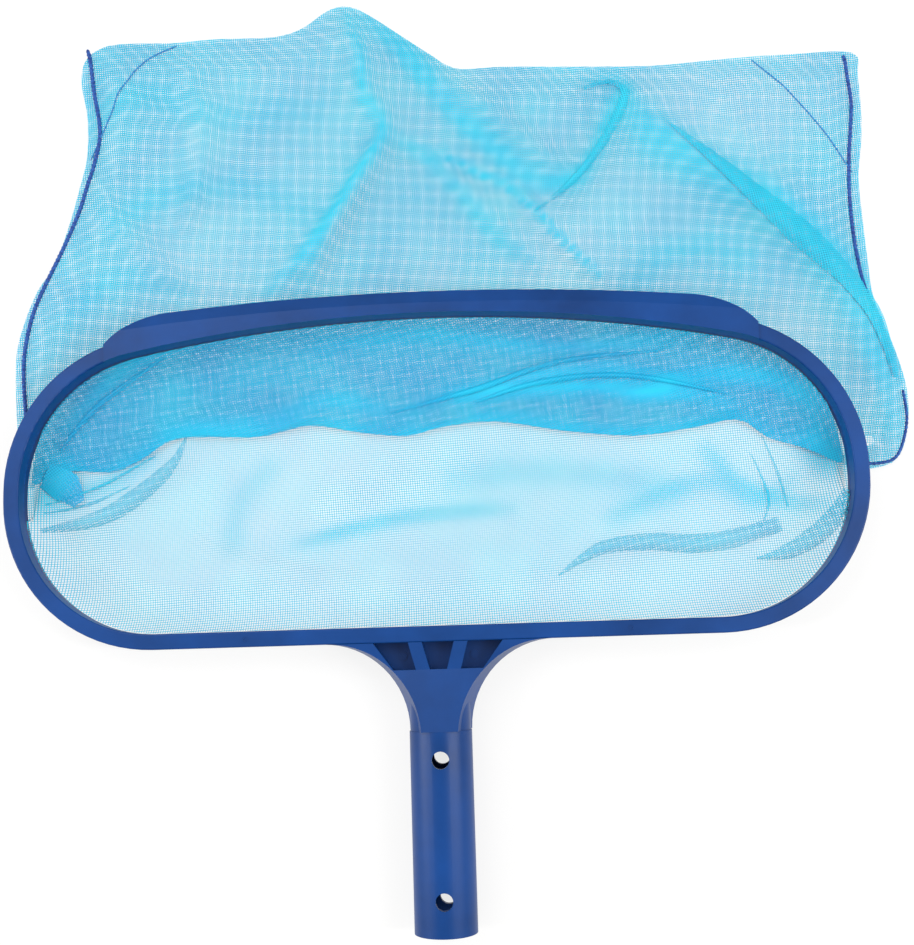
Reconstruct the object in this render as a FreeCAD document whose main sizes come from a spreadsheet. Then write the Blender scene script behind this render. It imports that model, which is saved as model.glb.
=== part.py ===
"""Leaf skimmer net: a moulded hoop and handle, a clamp ring under it, and a folded mesh bag.

Millimetres. The origin is the centre of the handle's free end face, +Y runs along the
handle towards the scraper lip, and +Z is up, away from the surface that the net lies on.
"""
import FreeCAD
import Part

import math
import os

V = FreeCAD.Vector

SIZES = {
    # handle spigot, which slides into a pole
    "SpigotRadius": 14.25,
    "SpigotWall": 2.8,
    "SpigotLength": 129.0,
    "RootRelief": 0.5,
    "BoreDepth": 84.0,
    "ClipHoleRadius": 3.9,
    "LowerHoleFromEnd": 15.6,
    "UpperHoleFromEnd": 76.6,
    "LowerHoleSkewX": 1.2,
    "LowerHoleSkewY": 1.7,
    # hoop, seen from above
    "HoopHalfWidth": 200.0,
    "HoopDepth": 160.0,
    "NearCornerShare": 0.4375,
    "FarCornerShare": 0.45,
    "FarBowShare": 0.0824,
    "BarWidth": 7.2,
    "EdgeFillet": 0.8,
    # hoop, heights
    "TopHeight": 8.0,
    "FrameWallHeight": 7.2,
    "HemThickness": 0.7,
    "ClampHeight": 6.6,
    "ClampInset": 0.5,
    "ClampBack": 0.5,
    # scraper lip
    "LipEndInset": 47.0,
    "LipReach": 3.5,
    "LipRadius": 1300.0,
    "LipCornerRadius": 46.0,
    "LipShoulder": 0.74,
    "LipCrestBack": 6.0,
    "LipEdgeDrop": 1.5,
    "LipRise": 1.2,
    "LipSweep": 40.0,
    # gusset between the hoop and the spigot
    "GussetRadius": 40.0,
    "GussetPull": 6.0,
    "PocketLength": 12.4,
    "PocketDepth": 9.0,
    "PocketOuter": 29.5,
    "RibOuter": 13.6,
    "RibInner": 7.3,
    "RibLean": 3.4,
    "MarkAcross": 16.5,
    "MarkRadius": 2.0,
    "MarkHeight": 0.4,
    # locating pins
    "PinRadius": 1.6,
    "PinClearance": 0.3,
    "PinSocket": 3.6,
    "PinSpan": 87.5,
    "SinkRadius": 1.1,
    "SinkDepth": 0.25,
    # mouth hem, gripped between the two halves of the hoop
    "HemInset": 1.0,
    # mesh bag, as it lies
    "MeshThickness": 0.6,
    "SoftGap": 0.3,
    "RingClearance": 1.55,
    "BagGap": 5.0,
    "FlapGap": 0.8,
    "FlapFoldAt": 97.0,
    "LeftHipOver": 2.5,
    "LeftHipAt": 140.0,
    "LeftWaistOver": -31.0,
    "LeftWaistPast": 82.0,
    "BottomPast": 141.0,
    "LeftCornerOver": -31.0,
    "PeakAt": -40.0,
    "PeakPast": 157.0,
    "PeakSpread": 34.0,
    "DipAt": 14.0,
    "RightBottomPast": 122.0,
    "RightCornerOver": 13.5,
    "RightWaistOver": 11.0,
    "RightWaistPast": 48.0,
    "RightHipOver": 26.5,
    "RightHipAt": 116.0,
    "RightTuckOver": 12.0,
    "RightTuckAt": 76.0,
    "LeftTuckOver": -1.0,
    "LeftTuckAt": 90.0,
    "FoldInset": 12.0,
    # sewing
    "SeamInset": 2.4,
    "SeamWidth": 2.2,
    "StitchWidth": 0.9,
    "StitchHeight": 0.5,
    "StitchAlong": 46.0,
    "StitchUp": 60.0,
}

doc = FreeCAD.newDocument("leaf_skimmer_net")
sheet = doc.addObject("Spreadsheet::Sheet", "Sizes")
for row, (alias, number) in enumerate(SIZES.items(), start=1):
    sheet.set(f"A{row}", alias)
    sheet.set(f"B{row}", str(number))
    sheet.setAlias(f"B{row}", alias)
doc.recompute()


def size(alias):
    """The number that a cell of the sheet holds."""
    return float(sheet.get(alias))


# ---------------------------------------------------------------- levels and places
hoop_y = size("SpigotLength")
top_z = size("TopHeight")
seam_top_z = top_z - size("FrameWallHeight")
seam_bottom_z = seam_top_z - size("HemThickness")
clamp_bottom_z = seam_bottom_z - size("ClampHeight")
return_top_z = clamp_bottom_z - size("RingClearance")
return_bottom_z = return_top_z - size("MeshThickness")
lower_top_z = return_bottom_z - size("BagGap")
floor_z = lower_top_z - size("MeshThickness")
flap_bottom_z = return_top_z + size("FlapGap")
fold_y = hoop_y + size("FlapFoldAt")

half_width = size("HoopHalfWidth")
lip_end_x = half_width - size("LipEndInset")
clamp_back = size("BarWidth") - size("ClampBack")
mesh_line = clamp_back + size("SoftGap")
near_radius = size("NearCornerShare") * size("HoopDepth")
far_radius = size("FarCornerShare") * size("HoopDepth")
far_bow = size("FarBowShare") * size("HoopDepth")
far_y = hoop_y + size("HoopDepth")
far_corner_x = half_width - far_radius
far_corner_y = far_y - far_radius - far_bow
bar_radius = far_radius + (far_corner_x ** 2 + far_bow ** 2) / (2 * far_bow)
bar_centre_y = far_y - bar_radius
near_corner_y = hoop_y + near_radius


# ---------------------------------------------------------------- plan curves
def arc(x, y, radius, start, end):
    """An arc in the plan, anticlockwise, with its angles in radians."""
    return Part.ArcOfCircle(Part.Circle(V(x, y, 0), V(0, 0, 1), radius), start, end)


def line(x0, y0, x1, y1):
    return Part.LineSegment(V(x0, y0, 0), V(x1, y1, 0))


def circle(x, y, radius):
    return [Part.Circle(V(x, y, 0), V(0, 0, 1), radius)]


def hoop_loop(inset):
    """The hoop's outline moved inwards: straight near bar, round ends, shallow far arc."""
    near_x = half_width - near_radius
    turn = math.atan2(far_corner_y - bar_centre_y, far_corner_x)
    near_line_y = hoop_y + inset
    side_x = half_width - inset
    return [
        line(-near_x, near_line_y, near_x, near_line_y),
        arc(near_x, near_corner_y, near_radius - inset, -math.pi / 2, 0),
        line(side_x, near_corner_y, side_x, far_corner_y),
        arc(far_corner_x, far_corner_y, far_radius - inset, 0, turn),
        arc(0, bar_centre_y, bar_radius - inset, turn, math.pi - turn),
        arc(-far_corner_x, far_corner_y, far_radius - inset, math.pi - turn, math.pi),
        line(-side_x, far_corner_y, -side_x, near_corner_y),
        arc(-near_x, near_corner_y, near_radius - inset, math.pi, 1.5 * math.pi),
    ]


def polygon(points):
    """Straight edges round a closed list of (x, y) points."""
    return [line(*a, *b) for a, b in zip(points, points[1:] + points[:1])]


def polygon_inset(points, inset):
    """The points of a convex or nearly convex anticlockwise outline, moved inwards."""
    sharpest = 0.3
    moved = []
    for before, here, after in zip(points[-1:] + points[:-1], points, points[1:] + points[:1]):
        into = V(here[0] - before[0], here[1] - before[1], 0).normalize()
        out = V(after[0] - here[0], after[1] - here[1], 0).normalize()
        normal = V(-into.y - out.y, into.x + out.x, 0).normalize()
        reach = inset / max(sharpest, normal.dot(V(-into.y, into.x, 0)))
        moved.append((here[0] + normal.x * reach, here[1] + normal.y * reach))
    return moved


# ---------------------------------------------------------------- features
def new_body(name):
    body = doc.addObject("PartDesign::Body", name)
    body.Label = name
    return body


def origin_plane(body, role):
    return next(o for o in body.Origin.OriginFeatures if o.Role == role)


def sketch(body, name, role, height, loops):
    """A sketch on one of the body's own origin planes, moved along that plane's normal."""
    made = body.newObject("Sketcher::SketchObject", name)
    made.AttachmentSupport = (origin_plane(body, role), [""])
    made.MapMode = "FlatFace"
    made.AttachmentOffset = FreeCAD.Placement(V(0, 0, height), FreeCAD.Rotation())
    for loop in loops:
        made.addGeometry(loop, False)
    return made


def pad(body, name, profile, length, reverse=False, midplane=False):
    """A pad whose length is a formula of the sheet's cells."""
    made = body.newObject("PartDesign::Pad", name)
    made.Profile = profile
    made.setExpression("Length", length)
    made.Reversed = reverse
    made.Midplane = midplane
    return made


def pocket(body, name, profile, length, reverse=False, midplane=False):
    """A pocket whose depth is a formula of the sheet's cells; it has to remove something."""
    doc.recompute()
    before = body.Shape.Volume
    made = body.newObject("PartDesign::Pocket", name)
    made.Profile = profile
    made.setExpression("Length", length)
    made.Reversed = reverse
    made.Midplane = midplane
    doc.recompute()
    if body.Shape.Volume >= before - 1e-6:
        raise ValueError(f"{name} removes nothing")
    return made


def edges_at(shape, test):
    """Names of the shape's edges whose every vertex passes the test."""
    return [
        f"Edge{i}" for i, edge in enumerate(shape.Edges, start=1)
        if edge.Vertexes and all(test(v.Point) for v in edge.Vertexes) and test(edge.CenterOfMass)
    ]


# ---------------------------------------------------------------- frame moulding
def gusset_loop(level):
    """The gusset's outline at its foot (level 0) or top (level 1): two concave arcs."""
    radius = size("GussetRadius")
    neck = size("SpigotRadius") - level * size("GussetPull")
    side = neck + radius
    foot_y = hoop_y - radius
    return [
        arc(-side, foot_y, radius, 0, math.pi / 2),
        line(-neck, foot_y, neck, foot_y),
        arc(side, foot_y, radius, math.pi / 2, math.pi),
        line(side, hoop_y, -side, hoop_y),
    ]


def lip_loop():
    """The scraper lip in plan: a shallow arc, rounded shoulders, and a step at each end."""
    lip_y = far_y + size("LipReach")
    big = size("LipRadius")
    small = size("LipCornerRadius")
    end_x = lip_end_x
    centre_y = lip_y - big
    shoulder_x = end_x - small * size("LipShoulder")
    shoulder_y = centre_y + math.sqrt((big - small) ** 2 - shoulder_x ** 2)
    turn = math.atan2(shoulder_y - centre_y, shoulder_x)
    stop = math.acos((end_x - shoulder_x) / small)
    tip_y = shoulder_y + small * math.sin(stop)
    inner = far_radius - size("BarWidth")
    inner_end = far_corner_y + math.sqrt(inner ** 2 - (end_x - far_corner_x) ** 2)
    inner_stop = math.atan2(inner_end - far_corner_y, end_x - far_corner_x)
    bar_turn = math.atan2(far_corner_y - bar_centre_y, far_corner_x)
    return [
        line(end_x, inner_end, end_x, tip_y),
        arc(shoulder_x, shoulder_y, small, stop, turn),
        arc(0, centre_y, big, turn, math.pi - turn),
        arc(-shoulder_x, shoulder_y, small, math.pi - turn, math.pi - stop),
        line(-end_x, tip_y, -end_x, inner_end),
        arc(-far_corner_x, far_corner_y, inner, math.pi - bar_turn, math.pi - inner_stop),
        arc(0, bar_centre_y, bar_radius - size("BarWidth"), bar_turn, math.pi - bar_turn),
        arc(far_corner_x, far_corner_y, inner, inner_stop, bar_turn),
    ]


def lip_slopes(body):
    """Cut the lip's top to a crest that falls to the thin outer edge and to the hoop's inside."""
    crest_z = top_z + size("LipRise")
    lip_y = far_y + size("LipReach")
    crest_y = lip_y - size("LipCrestBack")
    edge_z = top_z - size("LipEdgeDrop")
    above = crest_z + size("BarWidth")
    beyond = lip_y + size("BarWidth")
    slope = (crest_z - edge_z) / size("LipCrestBack")
    profile = polygon([
        (crest_y, crest_z), (beyond, crest_z - slope * (beyond - crest_y)),
        (beyond, above), (crest_y, above),
    ])
    outer = sketch(body, "lip_outer_slope", "YZ_Plane", 0, [profile])
    turn_y = lip_y - size("LipRadius")
    outer.addGeometry(line(turn_y, 0, turn_y, above), True)
    doc.recompute()
    before = body.Shape.Volume
    groove = body.newObject("PartDesign::Groove", "lip_outer_face")
    groove.Profile = outer
    groove.ReferenceAxis = (outer, ["Axis0"])
    groove.setExpression("Angle", "Sizes.LipSweep")
    groove.Midplane = True
    doc.recompute()
    if body.Shape.Volume >= before:
        raise ValueError("the lip's slope removes nothing")


def pocket_loops():
    """Three recesses in the gusset, side by side, parted by two ribs."""
    near = hoop_y
    low = hoop_y - size("PocketLength")
    outer = size("PocketOuter")
    rib_out = size("RibOuter")
    rib_in = size("RibInner")
    lean = size("RibLean")
    return [
        polygon([(-outer, near), (-rib_out - 2 * lean, low), (-rib_out + lean, low), (-rib_out, near)]),
        polygon([(-rib_in, near), (-rib_in + lean, low), (rib_in - lean, low), (rib_in, near)]),
        polygon([(rib_out, near), (rib_out - lean, low), (rib_out + 2 * lean, low), (outer, near)]),
    ]


def frame_moulding():
    """Upper half of the hoop, scraper lip, pocketed gusset and tubular spigot in one piece."""
    body = new_body("frame_moulding")
    bar = sketch(body, "hoop_plan", "XY_Plane", seam_top_z,
                 [hoop_loop(0) + hoop_loop(size("BarWidth"))])
    hoop = pad(body, "hoop_bar", bar, "Sizes.FrameWallHeight")
    doc.recompute()
    rim = body.newObject("PartDesign::Fillet", "hoop_edges")
    rim.Base = (hoop, edges_at(hoop.Shape, lambda p: abs(p.z - top_z) < 1e-4))
    rim.setExpression("Radius", "Sizes.EdgeFillet")
    doc.recompute()

    lip = sketch(body, "lip_plan", "XY_Plane", seam_top_z, [lip_loop()])
    pad(body, "lip_bar", lip, "Sizes.FrameWallHeight + Sizes.LipRise")
    doc.recompute()
    lip_slopes(body)

    foot = sketch(body, "gusset_foot", "XY_Plane", clamp_bottom_z, [gusset_loop(0)])
    crown = sketch(body, "gusset_crown", "XY_Plane", size("SpigotRadius"), [gusset_loop(1)])
    loft = body.newObject("PartDesign::AdditiveLoft", "gusset")
    loft.Profile = foot
    loft.Sections = [crown]
    loft.Ruled = True
    doc.recompute()
    root = sketch(body, "root_circle", "XZ_Plane", -hoop_y,
                  [circle(0, 0, size("SpigotRadius") - size("RootRelief"))])
    pad(body, "spigot_root", root, "Sizes.GussetRadius")
    tube = sketch(body, "spigot_circle", "XZ_Plane", size("GussetRadius") - hoop_y,
                  [circle(0, 0, size("SpigotRadius"))])
    pad(body, "spigot", tube, "Sizes.SpigotLength - Sizes.GussetRadius")
    slope_start = hoop_y - size("PocketLength")
    neck_y = hoop_y - size("GussetRadius")
    high = size("SpigotRadius") + size("BarWidth")
    slope = sketch(body, "gusset_slope", "YZ_Plane", 0, [polygon([
        (neck_y, size("SpigotRadius")), (slope_start, top_z), (hoop_y + size("BarWidth"), top_z),
        (hoop_y + size("BarWidth"), high), (neck_y, high)])])
    pocket(body, "gusset_top", slope, "Sizes.HoopHalfWidth", midplane=True)

    bore = sketch(body, "bore_circle", "XZ_Plane", 0,
                  [circle(0, 0, size("SpigotRadius") - size("SpigotWall"))])
    pocket(body, "spigot_bore", bore, "Sizes.BoreDepth")
    hollow = sketch(body, "pocket_plan", "XY_Plane", top_z, pocket_loops())
    pocket(body, "gusset_pockets", hollow, "Sizes.PocketDepth")

    upper = sketch(body, "upper_hole", "XY_Plane", 0,
                   [circle(0, size("UpperHoleFromEnd"), size("ClipHoleRadius"))])
    pocket(body, "clip_hole_upper", upper, "Sizes.SpigotRadius * 4", midplane=True)
    lower = sketch(body, "lower_hole", "XY_Plane", 0,
                   [circle(0, size("LowerHoleFromEnd"), size("ClipHoleRadius"))])
    pocket(body, "clip_hole_lower", lower, "Sizes.SpigotRadius * 2", reverse=True)
    under = sketch(body, "under_hole", "XY_Plane", 0, [circle(
        size("LowerHoleSkewX"), size("LowerHoleFromEnd") - size("LowerHoleSkewY"),
        size("ClipHoleRadius"))])
    pocket(body, "clip_hole_under", under, "Sizes.SpigotRadius * 2")

    pin_holes = sketch(body, "pin_holes", "XY_Plane", seam_top_z, [
        circle(x, y, size("PinRadius") + size("PinClearance")) for x, y in pin_places()])
    pocket(body, "pin_sockets", pin_holes, "Sizes.PinSocket", reverse=True)
    sinks = sketch(body, "sink_marks", "XY_Plane", top_z, [
        circle(x, y, size("SinkRadius")) for x, y in pin_places()[:2]])
    pocket(body, "sink_mark_pits", sinks, "Sizes.SinkDepth")
    floor_of_pocket = top_z - size("PocketDepth")
    marks = sketch(body, "mark_circles", "XY_Plane", floor_of_pocket, [
        circle(side * size("MarkAcross"), hoop_y - size("PocketLength") / 2, size("MarkRadius"))
        for side in (-1, 1)])
    pad(body, "pocket_marks", marks, "Sizes.MarkHeight")
    return body


# ---------------------------------------------------------------- clamp ring, pins and hem
def pin_places():
    """Where pins join the two halves: two on the near bar, two on the far bar."""
    near = hoop_y + size("BarWidth") / 2
    span = size("PinSpan")
    middle = bar_radius - size("BarWidth") / 2
    far = bar_centre_y + math.sqrt(middle ** 2 - span ** 2)
    return [(-span, near), (span, near), (-span, far), (span, far)]


def clamp_ring():
    """Lower half of the hoop, which closes against the frame and grips the bag's mouth."""
    body = new_body("clamp_ring")
    inset = size("ClampInset")
    plan = sketch(body, "clamp_plan", "XY_Plane", clamp_bottom_z,
                  [hoop_loop(inset) + hoop_loop(clamp_back)])
    ring = pad(body, "clamp_bar", plan, "Sizes.ClampHeight")
    doc.recompute()
    rim = body.newObject("PartDesign::Fillet", "clamp_edges")
    rim.Base = (ring, edges_at(ring.Shape, lambda p: abs(p.z - clamp_bottom_z) < 1e-4))
    rim.setExpression("Radius", "Sizes.EdgeFillet")
    holes = sketch(body, "clamp_holes", "XY_Plane", seam_bottom_z, [
        circle(x, y, size("PinRadius") + size("PinClearance")) for x, y in pin_places()])
    pocket(body, "clamp_sockets", holes, "Sizes.PinSocket")
    return body


def locating_pins():
    """Four round pins between the halves, seated on the clamp ring's sockets."""
    body = new_body("locating_pins")
    plan = sketch(body, "pin_plan", "XY_Plane", seam_bottom_z - size("PinSocket"),
                  [circle(x, y, size("PinRadius")) for x, y in pin_places()])
    pad(body, "pins", plan, "Sizes.PinSocket * 2 + Sizes.HemThickness - Sizes.PinClearance")
    return body


def mouth_hem():
    """The bag's bound mouth: a flat band pierced by the pins, gripped all round the seam."""
    body = new_body("mouth_hem")
    inset = size("HemInset")
    plan = sketch(body, "hem_plan", "XY_Plane", seam_bottom_z,
                  [hoop_loop(inset) + hoop_loop(size("BarWidth"))])
    pad(body, "hem", plan, "Sizes.HemThickness")
    holes = sketch(body, "hem_holes", "XY_Plane", seam_bottom_z, [
        circle(x, y, size("PinRadius") + size("PinClearance")) for x, y in pin_places()])
    pocket(body, "hem_pin_holes", holes, "Sizes.HemThickness", reverse=True)
    return body


# ---------------------------------------------------------------- mesh bag
def bag_points():
    """Corners of the bag's outline as it lies, anticlockwise from the fold's right end."""
    right, left = half_width, -half_width
    return [
        (right - size("FoldInset"), fold_y),
        (right + size("RightTuckOver"), hoop_y + size("RightTuckAt")),
        (right + size("RightHipOver"), hoop_y + size("RightHipAt")),
        (right + size("RightWaistOver"), far_y + size("RightWaistPast")),
        (right + size("RightCornerOver"), far_y + size("RightBottomPast")),
        (size("DipAt"), far_y + size("RightBottomPast")),
        (size("PeakAt"), far_y + size("PeakPast")),
        (size("PeakAt") - size("PeakSpread"), far_y + size("BottomPast")),
        (left - size("LeftCornerOver"), far_y + size("BottomPast")),
        (left - size("LeftWaistOver"), far_y + size("LeftWaistPast")),
        (left - size("LeftHipOver"), hoop_y + size("LeftHipAt")),
        (left - size("LeftTuckOver"), hoop_y + size("LeftTuckAt")),
        (left + size("FoldInset"), fold_y),
    ]


def prism(loop, low, high):
    """A solid between two heights on a closed loop of plan edges."""
    wire = Part.Wire([edge.toShape() for edge in loop])
    face = Part.Face(wire)
    face.translate(V(0, 0, low))
    return face.extrude(V(0, 0, high - low))


def slab(y0, y1, low, high):
    """A box across the whole part between two places along Y."""
    wide = half_width * 3
    return Part.makeBox(2 * wide, y1 - y0, high - low, V(-wide, y0, low))


def collar(low, high):
    """The mesh where it leaves the hem and lies against the clamp ring, all round."""
    ring = prism(hoop_loop(mesh_line), low, high)
    return ring.cut(prism(hoop_loop(mesh_line + size("MeshThickness")), low, high))


def feature(name, shape):
    """A sub-part whose shape is worked out with Part's own functions."""
    made = doc.addObject("Part::Feature", name)
    made.Label = name
    made.Shape = shape.removeSplitter()
    return made


def hoop_inside(low, high):
    """Everything within the mesh collar, between two heights."""
    return prism(hoop_loop(mesh_line), low, high)


def bottom_wall():
    """The fold at the bag's bottom, which joins the two panels there."""
    points = bag_points()[4:9]
    thick = size("MeshThickness")
    loop = points + [(x, y - thick) for x, y in reversed(points)]
    return prism(polygon(loop), floor_z, return_bottom_z)


def bag_lower_panel():
    """The side of the bag that lies on the ground, with its rise to the near bar."""
    near_end = hoop_y + size("RightTuckAt") - size("SoftGap")
    flat = prism(polygon(bag_points()), floor_z, lower_top_z).fuse(
        hoop_inside(floor_z, lower_top_z))
    rise = collar(floor_z, seam_bottom_z).common(
        slab(0, near_end, floor_z, seam_bottom_z))
    return feature("bag_lower_panel", flat.fuse([rise, bottom_wall()]))


def bag_upper_panel():
    """The slack upper side: it runs in from the far bar, folds, and runs back to the bottom."""
    reach = far_y + size("PeakPast") + size("PeakSpread")
    flap_top_z = flap_bottom_z + size("MeshThickness")
    behind_fold = slab(fold_y, reach, return_bottom_z, seam_bottom_z)
    at_fold = slab(fold_y, fold_y + size("MeshThickness"), return_bottom_z, flap_top_z)
    outside = prism(polygon(bag_points()), return_bottom_z, return_top_z)
    under_hoop = hoop_inside(return_bottom_z, return_top_z).common(behind_fold)
    flap = hoop_inside(flap_bottom_z, flap_top_z).common(behind_fold)
    fold = hoop_inside(return_bottom_z, flap_top_z).common(at_fold)
    rise = collar(return_bottom_z, seam_bottom_z).common(
        slab(hoop_y + size("RightTuckAt"), reach, return_bottom_z, seam_bottom_z))
    return feature("bag_upper_panel", outside.fuse([under_hoop, flap, fold, rise]))


def side_seam(name, side):
    """Overlocked edge joining the two panels from the hoop's end to the bag's bottom."""
    points = bag_points()
    outer = polygon_inset(points, size("SeamInset"))
    inner = polygon_inset(points, size("SeamInset") + size("SeamWidth"))
    picked = [1, 2, 3, 4] if side > 0 else [11, 10, 9, 8]
    loop = [outer[i] for i in picked] + [inner[i] for i in reversed(picked)]
    body = new_body(name)
    plan = sketch(body, f"{name}_plan", "XY_Plane", lower_top_z, [polygon(loop)])
    pad(body, f"{name}_rope", plan, "Sizes.BagGap")
    return body


def corner_stitch(name, side):
    """A line of thread across one bottom corner of the bag, lying on the upper panel."""
    points = bag_points()
    corner = points[4] if side > 0 else points[8]
    width = size("StitchWidth")
    run = size("StitchAlong")
    drop = size("StitchUp")
    margin = size("SeamInset") + size("SeamWidth")
    start = (corner[0] - side * run, corner[1] - margin)
    end = (corner[0] - side * margin, corner[1] - drop)
    body = new_body(name)
    plan = sketch(body, f"{name}_plan", "XY_Plane", return_top_z, [polygon([
        start, end, (end[0] - side * width, end[1]), (start[0] - side * width, start[1])])])
    pad(body, f"{name}_thread", plan, "Sizes.StitchHeight")
    return body


def export(bodies):
    """Recompute, test and write every sub-part."""
    doc.recompute()
    for made in doc.Objects:
        if {"Invalid", "Error"} & set(made.State):
            raise ValueError(f"{made.Name} failed: {made.State}")
    os.makedirs("parts", exist_ok=True)
    for body in bodies:
        shape = body.Shape
        if shape.isNull() or not shape.isValid():
            raise ValueError(f"{body.Label} has no valid shape")
        shape.exportStep(f"parts/{body.Label}.step")
        print(body.Label, len(shape.Solids), round(shape.Volume), shape.BoundBox)


export([
    frame_moulding(),
    clamp_ring(),
    locating_pins(),
    mouth_hem(),
    bag_lower_panel(),
    bag_upper_panel(),
    side_seam("side_seam_left", -1),
    side_seam("side_seam_right", 1),
    corner_stitch("corner_stitch_left", -1),
    corner_stitch("corner_stitch_right", 1),
])
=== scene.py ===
import math

import bpy
import numpy as np
from mathutils import Matrix, Vector


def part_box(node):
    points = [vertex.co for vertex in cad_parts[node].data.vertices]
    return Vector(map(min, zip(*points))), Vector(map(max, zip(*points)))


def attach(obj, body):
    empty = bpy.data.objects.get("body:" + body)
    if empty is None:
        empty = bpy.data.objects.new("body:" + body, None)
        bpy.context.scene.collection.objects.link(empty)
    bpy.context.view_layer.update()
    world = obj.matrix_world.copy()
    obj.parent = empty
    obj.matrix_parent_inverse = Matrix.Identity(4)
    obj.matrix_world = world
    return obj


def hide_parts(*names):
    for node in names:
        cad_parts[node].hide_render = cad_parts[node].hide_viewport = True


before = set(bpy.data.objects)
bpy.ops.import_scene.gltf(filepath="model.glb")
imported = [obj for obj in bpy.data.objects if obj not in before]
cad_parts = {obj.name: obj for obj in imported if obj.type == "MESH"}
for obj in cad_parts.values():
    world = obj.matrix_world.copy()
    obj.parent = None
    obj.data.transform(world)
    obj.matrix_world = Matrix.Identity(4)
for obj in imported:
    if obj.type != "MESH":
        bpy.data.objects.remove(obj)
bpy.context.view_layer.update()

# ---------------------------------------------------------------- places taken from the CAD frame
FRAME_LOW, FRAME_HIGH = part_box("frame_moulding")
CLAMP_LOW, CLAMP_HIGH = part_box("clamp_ring")
HALF_WIDTH = FRAME_HIGH.x
CLAMP_INSET = 0.0005
HOOP_Y = CLAMP_LOW.y - CLAMP_INSET
FAR_Y = CLAMP_HIGH.y + CLAMP_INSET
DEPTH = FAR_Y - HOOP_Y
RING_BOTTOM = CLAMP_LOW.z
FLOOR_Z = FRAME_LOW.z
MESH_LINE = 0.0070  # from the hoop's outer edge to the cloth on its inner wall, as in part.py
NEAR_R = 0.4375 * DEPTH  # the three shares are those of part.py
FAR_R = 0.45 * DEPTH
FAR_BOW = 0.0824 * DEPTH
FAR_CX = HALF_WIDTH - FAR_R
FAR_CY = FAR_Y - FAR_R - FAR_BOW
BAR_R = FAR_R + (FAR_CX ** 2 + FAR_BOW ** 2) / (2 * FAR_BOW)
BAR_CY = FAR_Y - BAR_R
NEAR_CX = HALF_WIDTH - NEAR_R
NEAR_CY = HOOP_Y + NEAR_R


def mm(points):
    """Points in millimetres past the near bar, as metres in the row frame."""
    return [(x / 1000, y / 1000 + HOOP_Y) for x, y in points]


# ---------------------------------------------------------------- node helpers
def material(name):
    """A material with a Principled shader, its node tree and the shader."""
    made = bpy.data.materials.new(name)
    made.use_nodes = True
    tree = made.node_tree
    tree.nodes.clear()
    out = tree.nodes.new("ShaderNodeOutputMaterial")
    shader = tree.nodes.new("ShaderNodeBsdfPrincipled")
    tree.links.new(shader.outputs[0], out.inputs[0])
    return made, tree, shader


def node(tree, kind, **values):
    """A node with some of its properties or inputs set."""
    made = tree.nodes.new(kind)
    for key, value in values.items():
        if hasattr(made, key):
            setattr(made, key, value)
        else:
            made.inputs[key].default_value = value
    return made


def math_node(tree, operation, a, b=None, clamp=False):
    """The output of a Math node; a and b are numbers or other outputs."""
    made = tree.nodes.new("ShaderNodeMath")
    made.operation = operation
    made.use_clamp = clamp
    for place, value in enumerate((a, b)):
        if value is None:
            continue
        if isinstance(value, (int, float)):
            made.inputs[place].default_value = value
        else:
            tree.links.new(value, made.inputs[place])
    return made.outputs[0]


def ramp(tree, factor, stops):
    """The colour output of a ramp with stops (place, colour)."""
    made = tree.nodes.new("ShaderNodeValToRGB")
    cells = made.color_ramp.elements
    while len(cells) < len(stops):
        cells.new(0.5)
    for cell, (place, colour) in zip(cells, stops):
        cell.position = place
        cell.color = colour
    tree.links.new(factor, made.inputs[0])
    return made.outputs[0]


def linear(r, g, b):
    """An sRGB colour in 0-255 as linear RGBA."""
    def one(c):
        c = c / 255
        return c / 12.92 if c <= 0.04045 else ((c + 0.055) / 1.055) ** 2.4
    return (one(r), one(g), one(b), 1.0)


def plastic(name, low, high, bump=0.12):
    """Moulded plastic: a faint cloudy tint and a fine grain."""
    made, tree, shader = material(name)
    place = tree.nodes.new("ShaderNodeTexCoord").outputs["Object"]
    cloud = node(tree, "ShaderNodeTexNoise", Scale=26.0, Detail=4.0, Roughness=0.55)
    tree.links.new(place, cloud.inputs["Vector"])
    colour = ramp(tree, cloud.outputs["Fac"], [(0.3, low), (0.7, high)])
    tree.links.new(colour, shader.inputs["Base Color"])
    grain = node(tree, "ShaderNodeTexNoise", Scale=2600.0, Detail=2.0)
    tree.links.new(place, grain.inputs["Vector"])
    rough = math_node(tree, "ADD", math_node(tree, "MULTIPLY", cloud.outputs["Fac"], 0.16), 0.3)
    tree.links.new(rough, shader.inputs["Roughness"])
    bumped = node(tree, "ShaderNodeBump", Strength=bump, Distance=0.0002)
    tree.links.new(grain.outputs["Fac"], bumped.inputs["Height"])
    tree.links.new(bumped.outputs[0], shader.inputs["Normal"])
    shader.inputs["Specular IOR Level"].default_value = 0.26
    return made


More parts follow.
